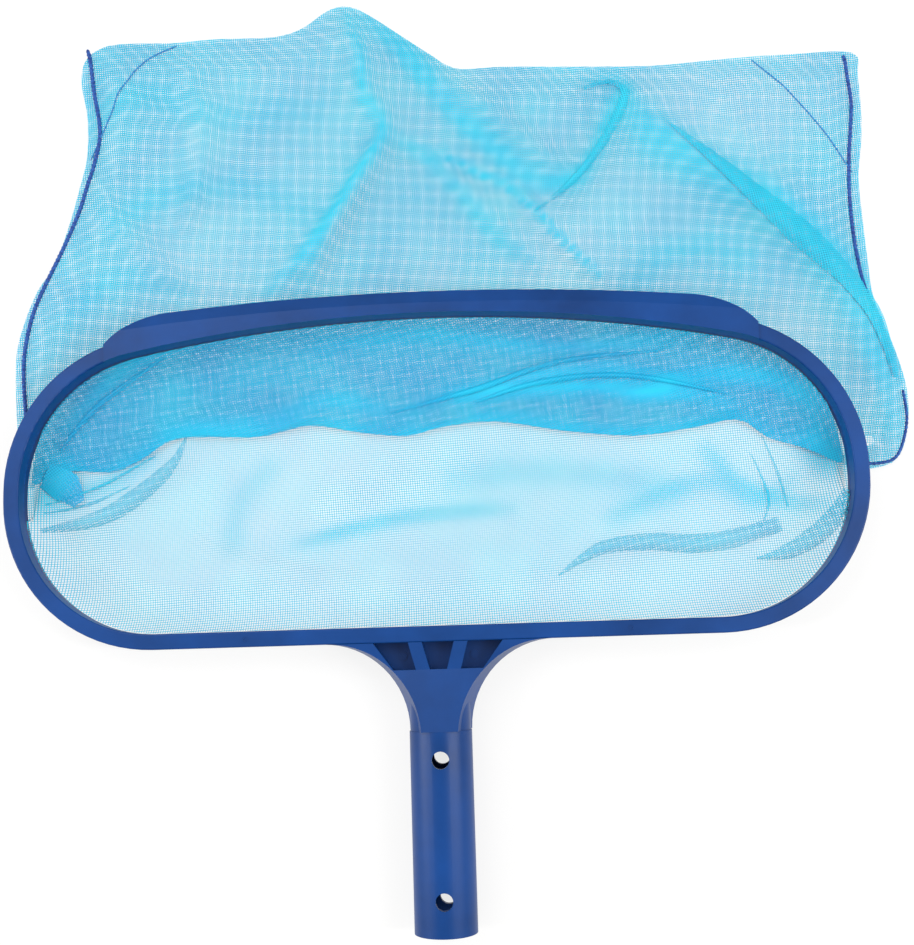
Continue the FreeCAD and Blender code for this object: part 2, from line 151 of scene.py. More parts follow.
def weave(name, thin, thick, pitch=0.0011, thread=0.36, solid=0.34):
    """Square mesh cloth: threads both ways with open holes; UV is in metres along the cloth."""
    made, tree, shader = material(name)
    uv = tree.nodes.new("ShaderNodeUVMap")
    split = tree.nodes.new("ShaderNodeSeparateXYZ")
    tree.links.new(uv.outputs[0], split.inputs[0])
    # The point value read here is stacked cloth plus painted shade: it widens the threads and fills the
    # holes, drawing the cloth darker along folds and creases.
    layers_and_shade = tree.nodes.new("ShaderNodeAttribute")
    layers_and_shade.attribute_name = "layers_and_shade"
    width = math_node(tree, "MULTIPLY", layers_and_shade.outputs["Fac"], thread / 2)
    waves = []
    for axis in (0, 1):
        turned = math_node(tree, "MULTIPLY", split.outputs[axis], 1 / pitch)
        near = math_node(tree, "ABSOLUTE", math_node(
            tree, "SUBTRACT", math_node(tree, "FRACT", turned), 0.5))
        waves.append(math_node(tree, "LESS_THAN", near, width))
    threads = math_node(tree, "MAXIMUM", waves[0], waves[1])
    crossings = math_node(tree, "MULTIPLY", waves[0], waves[1])
    tint = tree.nodes.new("ShaderNodeTexNoise")
    tint.inputs["Scale"].default_value = 34.0
    tint.inputs["Detail"].default_value = 3.0
    tree.links.new(tree.nodes.new("ShaderNodeTexCoord").outputs["Object"], tint.inputs["Vector"])
    shade = ramp(tree, math_node(tree, "ADD", math_node(tree, "MULTIPLY", crossings, 0.35),
                                 math_node(tree, "MULTIPLY", tint.outputs["Fac"], 0.65)),
                 [(0.25, thick), (0.65, thin)])
    tree.links.new(shade, shader.inputs["Base Color"])
    veil = math_node(tree, "ADD", math_node(tree, "MULTIPLY", layers_and_shade.outputs["Fac"], 0.26), solid - 0.26)
    alpha = math_node(tree, "MAXIMUM", math_node(tree, "MULTIPLY", threads, 0.98), veil, clamp=True)
    tree.links.new(alpha, shader.inputs["Alpha"])
    shader.inputs["Roughness"].default_value = 0.62
    shader.inputs["Transmission Weight"].default_value = 0.0
    bumped = node(tree, "ShaderNodeBump", Strength=0.35, Distance=0.0002)
    tree.links.new(threads, bumped.inputs["Height"])
    tree.links.new(bumped.outputs[0], shader.inputs["Normal"])
    return made


def thread_material(name, low, high):
    """Twisted sewing thread: fine slanted strands in two blues."""
    made, tree, shader = material(name)
    place = tree.nodes.new("ShaderNodeTexCoord").outputs["Object"]
    strand = node(tree, "ShaderNodeTexNoise", Scale=900.0, Detail=3.0)
    tree.links.new(place, strand.inputs["Vector"])
    colour = ramp(tree, strand.outputs["Fac"], [(0.35, low), (0.65, high)])
    tree.links.new(colour, shader.inputs["Base Color"])
    shader.inputs["Roughness"].default_value = 0.7
    bumped = node(tree, "ShaderNodeBump", Strength=0.5, Distance=0.0003)
    tree.links.new(strand.outputs["Fac"], bumped.inputs["Height"])
    tree.links.new(bumped.outputs[0], shader.inputs["Normal"])
    return made


FRAME_BLUE = plastic("frame_plastic", linear(0, 50, 108), linear(2, 64, 134))
CLAMP_BLUE = plastic("clamp_plastic", linear(0, 38, 96), linear(2, 50, 116))
PALE = weave("mesh_pale", linear(34, 202, 224), linear(6, 174, 212), thread=0.25, solid=0.06)
BLUE = weave("mesh_blue", linear(4, 192, 226), linear(0, 154, 208), thread=0.36, solid=0.16)
ROPE = thread_material("overlock", linear(14, 46, 120), linear(34, 92, 172))
FINE = thread_material("stitch", linear(26, 110, 176), linear(60, 150, 205))


# ---------------------------------------------------------------- curves in the plan
def hoop_outline(inset, step=0.003):
    """Points round the hoop, anticlockwise from the middle of the near bar."""
    turn = math.atan2(FAR_CY - BAR_CY, FAR_CX)
    spans = [
        ("line", (0, HOOP_Y + inset), (NEAR_CX, HOOP_Y + inset)),
        ("arc", NEAR_CX, NEAR_CY, NEAR_R - inset, -math.pi / 2, 0),
        ("line", (HALF_WIDTH - inset, NEAR_CY), (HALF_WIDTH - inset, FAR_CY)),
        ("arc", FAR_CX, FAR_CY, FAR_R - inset, 0, turn),
        ("arc", 0, BAR_CY, BAR_R - inset, turn, math.pi - turn),
        ("arc", -FAR_CX, FAR_CY, FAR_R - inset, math.pi - turn, math.pi),
        ("line", (-HALF_WIDTH + inset, FAR_CY), (-HALF_WIDTH + inset, NEAR_CY)),
        ("arc", -NEAR_CX, NEAR_CY, NEAR_R - inset, math.pi, 1.5 * math.pi),
        ("line", (-NEAR_CX, HOOP_Y + inset), (0, HOOP_Y + inset)),
    ]
    points = []
    for span in spans:
        if span[0] == "line":
            a, b = span[1], span[2]
            count = max(1, round(math.dist(a, b) / step))
            points += [(a[0] + (b[0] - a[0]) * i / count, a[1] + (b[1] - a[1]) * i / count)
                       for i in range(count)]
        else:
            _, x, y, r, start, stop = span
            count = max(1, round(abs(stop - start) * r / step))
            points += [(x + r * math.cos(start + (stop - start) * i / count),
                        y + r * math.sin(start + (stop - start) * i / count))
                       for i in range(count)]
    return points


def smooth_path(points, step=0.002, closed=False):
    """A Catmull-Rom curve through the points, evenly sampled."""
    pts = [np.array(p, float) for p in points]
    out = []
    n = len(pts)
    for i in range(n if closed else n - 1):
        if closed:
            p0, p1, p2, p3 = (pts[(i + k) % n] for k in (-1, 0, 1, 2))
        else:
            p0, p1, p2, p3 = pts[max(i - 1, 0)], pts[i], pts[i + 1], pts[min(i + 2, n - 1)]
        count = max(1, int(np.linalg.norm(p2 - p1) / step))
        for k in range(count):
            t = k / count
            out.append(0.5 * (2 * p1 + (p2 - p0) * t + (2 * p0 - 5 * p1 + 4 * p2 - p3) * t ** 2
                              + (3 * p1 - p0 - 3 * p2 + p3) * t ** 3))
    if not closed:
        out.append(pts[-1])
    return np.array(out)


def arc_lengths(path):
    """The distance run along a path at each of its points."""
    steps = np.linalg.norm(np.diff(path, axis=0), axis=1)
    return np.concatenate([[0], np.cumsum(steps)])


def distance_to(path, xy):
    """Signed distance from each of xy to a polyline (left of travel is positive), and the run."""
    a, b = path[:-1], path[1:]
    d = b - a
    length2 = (d ** 2).sum(1) + 1e-12
    runs = arc_lengths(path)
    best = np.full(len(xy), 1e9)
    sign = np.zeros(len(xy))
    run = np.zeros(len(xy))
    for i in range(len(a)):
        t = np.clip(((xy - a[i]) @ d[i]) / length2[i], 0, 1)
        gap = xy - (a[i] + t[:, None] * d[i])
        dist = np.hypot(gap[:, 0], gap[:, 1])
        near = dist < best
        best[near] = dist[near]
        sign[near] = np.sign(d[i][0] * gap[near, 1] - d[i][1] * gap[near, 0])
        run[near] = runs[i] + t[near] * math.sqrt(length2[i])
    return best * sign, run


def inside(outline, xy):
    """Which of the points lie inside a closed outline."""
    x, y = xy[:, 0], xy[:, 1]
    hit = np.zeros(len(xy), bool)
    px, py = outline[-1]
    for qx, qy in outline:
        crosses = (qy > y) != (py > y)
        with np.errstate(divide="ignore", invalid="ignore"):
            at = (px - qx) * (y - qy) / (py - qy) + qx
        hit ^= crosses & (x < at)
        px, py = qx, qy
    return hit


# ---------------------------------------------------------------- meshes
def new_mesh(name, verts, faces, mats, uvs=None, smooth=True):
    """A mesh object in the scene; uvs has one row for each point."""
    data = bpy.data.meshes.new(name)
    data.from_pydata([tuple(map(float, v)) for v in verts], [], [tuple(map(int, f)) for f in faces])
    for m in mats:
        data.materials.append(m)
    data.polygons.foreach_set("use_smooth", [smooth] * len(data.polygons))
    if uvs is not None:
        layer = data.uv_layers.new(name="UVMap")
        loops = np.zeros(len(data.loops), np.int32)
        data.loops.foreach_get("vertex_index", loops)
        layer.data.foreach_set("uv", np.asarray(uvs, np.float32)[loops].ravel())
    data.validate()
    data.update()
    made = bpy.data.objects.new(name, data)
    bpy.context.scene.collection.objects.link(made)
    return made


def tube_mesh(name, path, radius, mat, sides=8, lumps=0.0, lump_step=0.0022):
    """A round strand along a 3-D path; lumps make it read as a row of overlocked stitches."""
    path = np.asarray(path, float)
    runs = arc_lengths(path)
    tangent = np.gradient(path, axis=0)
    tangent /= np.linalg.norm(tangent, axis=1)[:, None] + 1e-12
    up = np.array([0, 0, 1.0])
    side = np.cross(tangent, up)
    side /= np.linalg.norm(side, axis=1)[:, None] + 1e-12
    over = np.cross(side, tangent)
    verts, faces = [], []
    for i in range(len(path)):
        swell = 1 + lumps * math.sin(2 * math.pi * runs[i] / lump_step)
        ends = min(1.0, 0.35 + 0.65 * min(i, len(path) - 1 - i) / 2)
        for k in range(sides):
            a = 2 * math.pi * k / sides
            r = radius * swell * ends
            verts.append(path[i] + side[i] * r * math.cos(a) + over[i] * r * math.sin(a))
    for i in range(len(path) - 1):
        for k in range(sides):
            n = (k + 1) % sides
            faces.append((i * sides + k, i * sides + n, (i + 1) * sides + n, (i + 1) * sides + k))
    faces.append(tuple(range(sides))[::-1])
    faces.append(tuple(range((len(path) - 1) * sides, len(path) * sides)))
    return new_mesh(name, verts, faces, [mat])


# ---------------------------------------------------------------- plastic parts
def dress_cad(name, mat):
    """Gives a CAD node its material; its mesh and place stay as they are."""
    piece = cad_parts[name]
    piece.data.materials.clear()
    piece.data.materials.append(mat)
    return piece


dress_cad("frame_moulding", FRAME_BLUE)
dress_cad("clamp_ring", CLAMP_BLUE)
dress_cad("locating_pins", CLAMP_BLUE)
dress_cad("mouth_hem", ROPE)


# ---------------------------------------------------------------- the bag's outline and folds
# Lists of places are in millimetres, x from the middle and y past the near bar. They were read off
# the photograph through the fitted camera, and aren't taken from the CAD frame.
BAG = smooth_path(mm([
    (184, 92), (190, 80), (203, 75), (213, 76), (219, 79), (223, 86), (226, 100), (226, 114),
    (222, 131), (217, 146), (213, 160), (212, 176), (211, 197), (210.5, 218), (213, 236),
    (214, 252), (213.6, 270), (212, 281.6), (181, 282), (150, 281), (113, 279), (75, 280),
    (40, 281.6), (16, 281.6), (4, 289), (-10, 299), (-22, 308), (-32, 314.6), (-40.5, 316.6),
    (-49, 313.6), (-60, 306), (-74, 302), (-105, 302), (-124, 301), (-152, 301.6), (-163, 299),
    (-169.6, 293), (-171, 281), (-168, 264), (-168, 244), (-171, 230), (-177, 208), (-184, 188),
    (-192, 176), (-199, 158), (-202.2, 143), (-202, 121), (-201, 106), (-198, 88), (-190, 78), (-182, 84)]),
    0.003, True)
OUTLINE_STEP = 0.004
WALL_GAP = 0.0004
HOOP_IN = np.array(hoop_outline(MESH_LINE + WALL_GAP, OUTLINE_STEP))
HOOP_LOOP = np.vstack([HOOP_IN, HOOP_IN[:1]])
HOOP_OUT = np.array(hoop_outline(0.0, OUTLINE_STEP))
HOOP_OUT_LOOP = np.vstack([HOOP_OUT, HOOP_OUT[:1]])
BAG_LOOP = np.vstack([BAG, BAG[:1]])
FOLD_PATH = smooth_path(mm([
    (-230, 68), (-205, 74), (-190, 80), (-178, 86), (-154, 85), (-139, 91), (-122, 100), (-84, 99.5),
    (-59, 104), (-36, 100), (-13, 97.5), (3.5, 101), (29, 103), (65, 97), (97, 94), (124, 97),
    (145.5, 100), (158, 91), (176, 85), (192, 77), (205, 70), (240, 60)]), 0.004)
LOWER_LIFT = 0.0006
RETURN_LIFT = 0.0045
FLAP_DROP = 0.0016
LOWER_Z = FLOOR_Z + LOWER_LIFT
RETURN_Z = FLOOR_Z + RETURN_LIFT
FLAP_Z = RING_BOTTOM - FLAP_DROP


def past_fold(xy):
    """Distance beyond the fold of the upper side, positive away from the near bar."""
    return distance_to(FOLD_PATH, xy)[0]


RIDGE_FADE = 0.18
BAND_FADE = 0.2
BAND_GAIN = 1.15
DENSITY_WAVES = ((0.10, 0.11, 21), (0.05, 0.03, 22))  # share, length in metres, seed
LEAST_DENSE = 0.35
MOST_DENSE = 3


def ridge(xy, path, width, height):
    """A ridge of cloth along a line, fading at both ends."""
    line = smooth_path(mm(path), 0.004)
    dist, run = distance_to(line, xy)
    total = arc_lengths(line)[-1]
    fade = np.clip(np.minimum(run, total - run) / (RIDGE_FADE * total), 0.0, 1) ** 0.5
    return height * np.exp(-(dist / width) ** 2) * fade


def waves(xy, scale, seed):
    """Smooth repeatable waviness made of a few slanted sine waves."""
    rng = np.random.default_rng(seed)
    total = np.zeros(len(xy))
    for _ in range(6):
        angle = rng.uniform(0, math.pi)
        phase = rng.uniform(0, 6.28)
        length = scale * rng.uniform(0.6, 1.6)
        along = xy[:, 0] * math.cos(angle) + xy[:, 1] * math.sin(angle)
        total += np.sin(along / length * 6.28 + phase)
    return total / 6


class Cloth:
    """Grids and folded strips of cloth gathered into one mesh."""

    def __init__(self, height, turn):
        self.height = height
        self.turn = turn
        self.verts = []
        self.uvs = []
        self.faces = []

    def add(self, xyz, faces, uv):
        """Adds one patch: its points, its faces by number from 0, and its place on the flat cloth."""
        start = sum(len(v) for v in self.verts)
        self.verts.append(np.asarray(xyz, float))
        self.uvs.append(np.asarray(uv, float))
        self.faces += [[start + i for i in f] for f in faces]

    def to_uv(self, xy):
        """Places on the flat cloth in metres, turned as the weave is turned."""
        c, s = math.cos(self.turn), math.sin(self.turn)
        return np.column_stack([xy[:, 0] * c + xy[:, 1] * s, -xy[:, 0] * s + xy[:, 1] * c])

    def grid(self, test, low, high, step=0.0032, height=None):
        """Every cell whose corners pass the test; the cells on the border end exactly on it."""
        xs = np.arange(low[0], high[0] + step, step)
        ys = np.arange(low[1], high[1] + step, step)
        gx, gy = np.meshgrid(xs, ys)
        xy = np.column_stack([gx.ravel(), gy.ravel()])
        ok = test(xy)
        shape = gx.shape
        state = ok.reshape(shape)
        moved = xy.copy()
        snapped = np.zeros(len(xy), bool)
        for dy, dx in ((0, 1), (0, -1), (1, 0), (-1, 0), (1, 1), (1, -1), (-1, 1), (-1, -1)):
            beside = np.zeros(shape, bool)
            src = state[max(0, dy):shape[0] + min(0, dy), max(0, dx):shape[1] + min(0, dx)]
            beside[max(0, -dy):shape[0] + min(0, -dy), max(0, -dx):shape[1] + min(0, -dx)] = src
            pick = np.where(beside.ravel() & ~ok & ~snapped)[0]
            if not len(pick):
                continue
            inner = xy[pick] + np.array([dx, dy]) * step
            outer = xy[pick].copy()
            for _ in range(7):
                middle = (inner + outer) / 2
                passed = test(middle)
                inner[passed] = middle[passed]
                outer[~passed] = middle[~passed]
            moved[pick] = inner
            snapped[pick] = True
        use = ok | snapped
        index = -np.ones(len(xy), int)
        index[use] = np.arange(use.sum())
        columns = shape[1]
        faces = []
        for r in range(shape[0] - 1):
            for c in range(columns - 1):
                q = r * columns + c
                ring = (q, q + 1, q + columns + 1, q + columns)
                if not any(ok[k] for k in ring):
                    continue
                ids = [index[k] for k in ring if index[k] >= 0]
                if len(ids) >= 3:
                    faces.append(ids)
        flat = moved[use]
        z = (height or self.height)(flat)
        self.add(np.column_stack([flat, z]), faces, self.to_uv(flat))

    def strip(self, path, wide, lift=0.0007, lean=0.3, tall=0.0012):
        """A pleat: a narrow extra layer along a line, rounded over its folded edges."""
        line = smooth_path(mm(path), 0.0025)
        tangent = np.gradient(line, axis=0)
        tangent /= np.linalg.norm(tangent, axis=1)[:, None]
        normal = np.column_stack([-tangent[:, 1], tangent[:, 0]])
        runs = arc_lengths(line)
        widths = np.interp(runs / runs[-1], np.linspace(0, 1, len(wide)), wide) / 2000
        count = 7
        across = np.linspace(-1, 1, count)
        xy = np.array([p + n * w * t for p, n, w in zip(line, normal, widths) for t in across])
        z = self.height(xy).reshape(len(line), count)
        z = z + lift + tall * (1 - across[None, :] ** 2) * np.minimum(1, widths / 0.002)[:, None]
        faces = []
        for i in range(len(line) - 1):
            for k in range(count - 1):
                here = i * count + k
                beyond = here + count
                faces.append((here, here + 1, beyond + 1, beyond))
        turned = Cloth(None, self.turn + lean).to_uv(xy)
        self.add(np.column_stack([xy, z.ravel()]), faces, turned)

    def make(self, name, mats, bands=(), patches=()):
        """One mesh, with a value at each point for how thick the cloth is drawn there: stacked cloth
        together with painted shade along folds and creases.
        """
        verts = np.vstack(self.verts)
        made = new_mesh(name, verts, self.faces, mats, np.vstack(self.uvs))
        dense_and_shade = np.ones(len(verts))
        for share, length, seed in DENSITY_WAVES:
            dense_and_shade += share * waves(verts[:, :2], length, seed)
        # Painted shade: each band makes the cloth thicker and darker along a fold or crease.
        for path, left, right, strength in bands:
            line = smooth_path(mm(path), 0.004)
            dist, run = distance_to(line, verts[:, :2])
            total = arc_lengths(line)[-1]
            fade = np.clip(np.minimum(run, total - run) / (BAND_FADE * total), 0, 1) ** 0.5
            width = np.where(dist > 0, left, right) / 1000
            dense_and_shade += strength * BAND_GAIN * np.exp(-(dist / width) ** 2) * fade
        for (x, y), radius, strength in patches:
            gap = np.hypot(verts[:, 0] - x / 1000, verts[:, 1] - y / 1000 - HOOP_Y)
            dense_and_shade += strength * np.exp(-(gap * 1000 / radius) ** 2)
        # Stored per point for the weave: stacked cloth and painted shade together.
        made.data.attributes.new("layers_and_shade", "FLOAT", "POINT").data.foreach_set(
            "value", np.clip(dense_and_shade, LEAST_DENSE, MOST_DENSE).astype(np.float32))
        return made


RISE_ENDS = 0.085
RISE_FADE = 0.02
RISE_WIDTH = 0.016
SEAM_RISE = 0.0055


def near_rise(xy):
    """How far the ground panel has risen to the seam, 0 to 1, and the distance to the hoop's wall."""
    dist = np.abs(distance_to(HOOP_LOOP, xy)[0])
    within = inside(HOOP_IN, xy)
    share = np.clip((HOOP_Y + RISE_ENDS - xy[:, 1]) / RISE_FADE, 0, 1)
    return np.where(within, np.clip(1 - dist / RISE_WIDTH, 0, 1) ** 2 * share, 0), dist


LEFT_RIBBON = [(-119, 101), (-125, 88), (-142, 73), (-160, 63), (-187, 57.5)]
RIGHT_RIBBON = [(57, 29), (76, 40.5), (98, 43.5), (120, 42), (138, 43.5), (162, 50)]
END_RIBBON = [(150, 34), (165, 37), (178, 44.5), (187, 54), (192, 64)]
LOW_CREASES = [
    [(150, 84), (156, 62), (150, 45)],
    [(-186, 70), (-160, 78), (-134, 92)],
    [(118, 88), (104, 70), (80, 58)],
    [(-120, 60), (-80, 44), (-30, 36)],
]


def lower_height(xy):
    """The panel on the ground, with its ribbons and low creases inside the hoop."""
    rise, dist = near_rise(xy)
    z = LOWER_Z + rise * (RING_BOTTOM + SEAM_RISE - LOWER_Z)
    z += 0.0008 * (1 + waves(xy, 0.07, 3)) * np.clip(dist / 0.02, 0, 1)
    lying = inside(HOOP_IN, xy)
    for path in (LEFT_RIBBON, RIGHT_RIBBON, END_RIBBON):
        z += ridge(xy, path, 0.005, 0.003) * lying
    for path in LOW_CREASES:
        z += ridge(xy, path, 0.004, 0.002) * lying
    return z


# Raised folds: path, width and height in metres.
OUT_FOLDS = [
    ([(-40, 314), (-33, 294), (-28, 270), (-19, 250), (-30, 225), (-46, 203), (-80, 164)], 0.0055, 0.0045),
    ([(-19, 248), (-34, 222), (-62, 164)], 0.004, 0.003),
    ([(-31, 312), (4, 282), (38, 250), (72, 219)], 0.006, 0.0045),
    ([(78, 266), (90, 269), (98, 262), (90, 243), (72, 219), (52, 204)], 0.0065, 0.0045),
    ([(41.5, 215), (64, 190), (84, 167)], 0.004, 0.003),
    ([(2.5, 237), (30, 205), (56, 175)], 0.005, 0.003),
    ([(110, 252), (160, 203), (200, 162), (222, 118)], 0.008, 0.004),
    ([(-168, 232), (-150, 205), (-118, 172)], 0.006, 0.003),
    ([(-120, 292), (-108, 250), (-120, 200)], 0.006, 0.0025),
    ([(140, 276), (152, 240), (180, 200)], 0.006, 0.0025),
    ([(-160, 280), (-130, 262), (-90, 268)], 0.006, 0.002),
]


FOLD_ROUND = 0.006
FLAP_RISE = 0.0062
FLAP_SAG = 0.0018
FLAP_WALL = 0.011
EDGE_WIDTH = 0.018
EDGE_DROP = 0.0032
RIM_WIDTH = 0.025
OUT_LIFT = 0.002
FOLD_LIFT = 0.0014
RIPPLE = 0.0009


def upper_height(xy):
    """The upper side beyond the hoop, and as it runs back under the hoop to its fold."""
    edge = np.clip(np.abs(distance_to(BAG_LOOP, xy)[0]) / EDGE_WIDTH, 0, 1)
    outward = np.where(inside(HOOP_OUT, xy), 0, 1) * np.clip(
        np.abs(distance_to(HOOP_OUT_LOOP, xy)[0]) / RIM_WIDTH, 0, 1)
    z = RETURN_Z - EDGE_DROP * (1 - edge) + RIPPLE * waves(xy, 0.05, 5) * edge
    z += outward * edge * OUT_LIFT
    for path, width, tall in OUT_FOLDS:
        z += ridge(xy, path, width, tall) * outward * (0.3 + 0.7 * edge)
    fold = np.clip(past_fold(xy) / FOLD_ROUND, 0, 1)
    return np.where(inside(HOOP_IN, xy), z + (1 - fold) ** 2 * FOLD_LIFT, z)


def flap_height(xy):
    """The flap inside the hoop: it hangs from the far bar's seam and dips to its fold."""
    wall = np.abs(distance_to(HOOP_LOOP, xy)[0])
    fold = np.clip(past_fold(xy) / FOLD_ROUND, 0, 1)
    far = np.clip((xy[:, 1] - HOOP_Y - RISE_ENDS) / RISE_FADE, 0, 1)
    z = FLAP_Z - FLAP_SAG * (1 - fold) ** 2
    z += np.clip(1 - wall / FLAP_WALL, 0, 1) ** 1.6 * far * FLAP_RISE
    z += RIPPLE * waves(xy, 0.045, 9) * np.clip(wall / 0.02, 0, 1) * fold
    for path, width, tall in FLAP_FOLDS:
        z += ridge(xy, path, width, tall) * fold * np.clip(wall / 0.01, 0, 1)
    return z


FLAP_FOLDS = [
    ([(20, 112), (55, 121), (95, 122), (140, 112)], 0.004, 0.0022),
    ([(-20, 108), (20, 118), (60, 130), (110, 134)], 0.004, 0.002),
    ([(-170, 92), (-140, 108), (-100, 118), (-60, 112)], 0.005, 0.0022),
    ([(-178, 96), (-158, 118), (-128, 138)], 0.004, 0.002),
    ([(120, 100), (150, 108), (174, 100)], 0.004, 0.002),
]

# Bands where the cloth is drawn thicker: stacked cloth in the lying folds, and painted shade in the folds
# and creases. Each has a path, width to its left and right in mm, and strength; they were read off places
# in the photograph. A scratch script printed these from places in the photograph.
# PATCHES and ENDS are round: middle, radius in mm and strength.
OUT_BANDS = [
    ([(-40, 316), (-32, 295), (-29, 266), (-20, 248), (-37, 220), (-62, 186), (-81, 166)], 3.5, 3.5, 0.8),
    ([(-20, 250), (-45, 208), (-63, 166)], 3, 5, 0.5),
    ([(-32, 314), (-11, 291), (8, 264), (32, 238), (55, 219), (80, 221)], 9, 5, 0.9),
    ([(79, 266), (89, 271), (98, 266), (88, 246), (73, 221), (55, 216)], 5, 3, 0.9),
    ([(87, 266), (106, 250), (134, 228), (166, 207), (198, 175), (215, 146), (224, 114)], 7, 14, 0.95),
    ([(2, 239), (26, 225), (42, 217), (64, 191), (85, 169)], 1.6, 1.6, 1.3),
    ([(-20, 248), (2, 234), (35, 192), (56, 176)], 2.5, 4, 0.6),
    ([(-166, 261), (-136, 270), (-96, 258), (-46, 261)], 8, 8, 0.3),
    ([(-161, 200), (-131, 219), (-87, 222), (-48, 200)], 8, 8, 0.35),
    ([(-180, 155), (-151, 179), (-112, 168)], 7, 7, 0.3),
    ([(92, 160), (122, 184), (160, 177)], 7, 7, 0.35),
    ([(205, 136), (215, 117), (216, 88)], 5, 5, 0.4),
]
PATCHES = [((169, 252), 32, -0.4), ((64, 181), 20, -0.3), ((-111, 180), 24, -0.25), ((13, 267), 14, -0.3),
           ((134, 262), 26, -0.3), ((172, 142), 20, -0.35), ((1, 183), 18, -0.3)]
LOW_BANDS = [
    ([(-70, 47), (-17, 59), (40, 62)], 3, 4, 0.55),
    ([(78, 54), (126, 72), (153, 62), (173, 75)], 4, 6, 0.4),
    ([(-98, 41), (-93, 70), (-74, 88)], 6, 6, 0.25),
    ([(2, 76), (60, 79), (121, 67)], 6, 8, 0.3),
    ([(127, 91), (144, 71), (167, 61), (188, 60)], 3, 5, 0.5),
    ([(-180, 72), (-156, 81), (-132, 95)], 3, 5, 0.5),
]
ENDS = [((-186, 74), 9, 1.1), ((-178, 84), 9, 0.8), ((188, 80), 9, 1.1), ((180, 88), 9, 0.8)]
FLAP_BANDS = [
    ([(9, 116), (61, 119), (99, 116), (127, 112)], 1.6, 4, 1.0),
    ([(-15, 110), (42, 123), (99, 124), (146, 106)], 3, 5, 0.7),
    ([(-178, 101), (-154, 129), (-121, 145), (-82, 151)], 3, 4, 0.7),
    ([(-135, 104), (-82, 107), (-49, 116), (-6, 104)], 4, 5, 0.5),
    ([(89, 111), (128, 122), (165, 118), (187, 98)], 4, 6, 0.8),
    ([(-63, 140), (-5, 146), (62, 138), (128, 141)], 3, 4, 0.5),
    # Painted shade: this band follows the flap's fold and darkens its edge.
    ([(-180, 87), (-154, 86), (-139, 92), (-122, 101), (-84, 100.5), (-59, 105), (-13, 98.5), (29, 104),
      (65, 98), (97, 95), (124, 98), (145, 101), (158, 92), (176, 86)], 3, 3, 0.7),
]

CLOTH_LEFT = -0.206
CLOTH_RIGHT = 0.23
CLOTH_FAR = HOOP_Y + 0.32
UNDER_HOOP = HOOP_Y + 0.062
FOLD_START = HOOP_Y + 0.07
SMALL_CREASES = [
    [(-186, 70), (-160, 78), (-134, 92)],
    [(-186, 66), (-165, 70), (-146, 78)],
    [(150, 84), (157, 62), (152, 48)],
    [(156, 92), (163, 72), (166, 58)],
]
SIDE_PLEAT = [(118, 247), (150, 217), (185, 182), (211, 152), (221, 118)]
FLAP_TUCK = [(-186, 84), (-176, 78), (-170, 70)]


def on_lower(xy):
    """Where the ground panel lies: the bag's outline, inside the hoop, and under its far part."""
    under = inside(HOOP_OUT, xy) & (xy[:, 1] > UNDER_HOOP)
    return inside(BAG, xy) | inside(HOOP_IN, xy) | under


def on_upper(xy):
    """Where the upper side lies: the bag's outline, beyond the fold."""
    return inside(BAG, xy) & (past_fold(xy) > 0)


def on_flap(xy):
    """Where the flap lies: inside the hoop, beyond the fold."""
    return inside(HOOP_IN, xy) & (past_fold(xy) > 0)


def make_lower():
    cloth = Cloth(lower_height, 0.06)
    cloth.grid(on_lower, (CLOTH_LEFT, HOOP_Y + 0.004), (CLOTH_RIGHT, CLOTH_FAR))
    cloth.strip(LEFT_RIBBON, [1, 7, 9, 7, 2])
    cloth.strip(RIGHT_RIBBON, [1, 6, 8, 9, 9, 7])
    cloth.strip(END_RIBBON, [1, 7, 9, 8, 4])
    for crease in SMALL_CREASES:
        cloth.strip(crease, [0.6, 1.6, 0.8])
    return cloth.make("bag_lower_cloth", [PALE], LOW_BANDS, ENDS)


def make_upper():
    cloth = Cloth(upper_height, -0.10)
    cloth.grid(on_upper, (CLOTH_LEFT, FOLD_START), (CLOTH_RIGHT, CLOTH_FAR))
    cloth.strip(OUT_FOLDS[3][0], [2, 4, 5, 4, 3, 1])
    cloth.strip(SIDE_PLEAT, [1, 8, 14, 10, 3])
    return cloth.make("bag_upper_cloth", [PALE], OUT_BANDS, PATCHES)


def make_flap():
    cloth = Cloth(flap_height, 0.32)
    cloth.grid(on_flap, (CLOTH_LEFT, FOLD_START), (-CLOTH_LEFT, FAR_Y))
    cloth.strip(FLAP_TUCK, [12, 16, 6], lift=0.0)
    for fold in (FLAP_FOLDS[0], FLAP_FOLDS[1], FLAP_FOLDS[3]):
        cloth.strip(fold[0], [1, 3, 2.5, 1])
    return cloth.make("bag_flap_cloth", [BLUE], FLAP_BANDS, ENDS)


lower = make_lower()
upper = make_upper()
flap = make_flap()


# ---------------------------------------------------------------- sewing
def seam_rope(name, points, height, lift, radius, mat, **extra):
    """A strand that follows the cloth under it."""
    line = smooth_path(mm(points), 0.0009)
    z = height(line) + lift
    return tube_mesh(name, np.column_stack([line, z]), radius, mat, **extra)


LUMPS = 0.22
FINE_LUMPS = 0.25
LEFT_SEAM = [(-168, 299), (-166, 290), (-164, 275), (-161, 255), (-164, 239), (-170, 219),
             (-177, 202), (-187, 181), (-194, 163.5), (-197.5, 146), (-198, 132), (-197, 117), (-196, 104)]
RIGHT_SEAM = [(207, 280), (208, 268), (209, 255), (207.5, 240), (206, 227.5), (205, 206), (206, 184),
              (209, 163), (213, 152)]
HEM = [(224, 112), (225, 98), (222, 86), (218, 79.5), (212, 77.5), (205, 77.5), (197, 82)]
LEFT_STITCH = [(-123, 299), (-137, 291), (-148, 277), (-155, 263), (-162, 249), (-166, 241)]
RIGHT_STITCH = [(162, 279.5), (176, 263), (190, 245), (207, 220)]


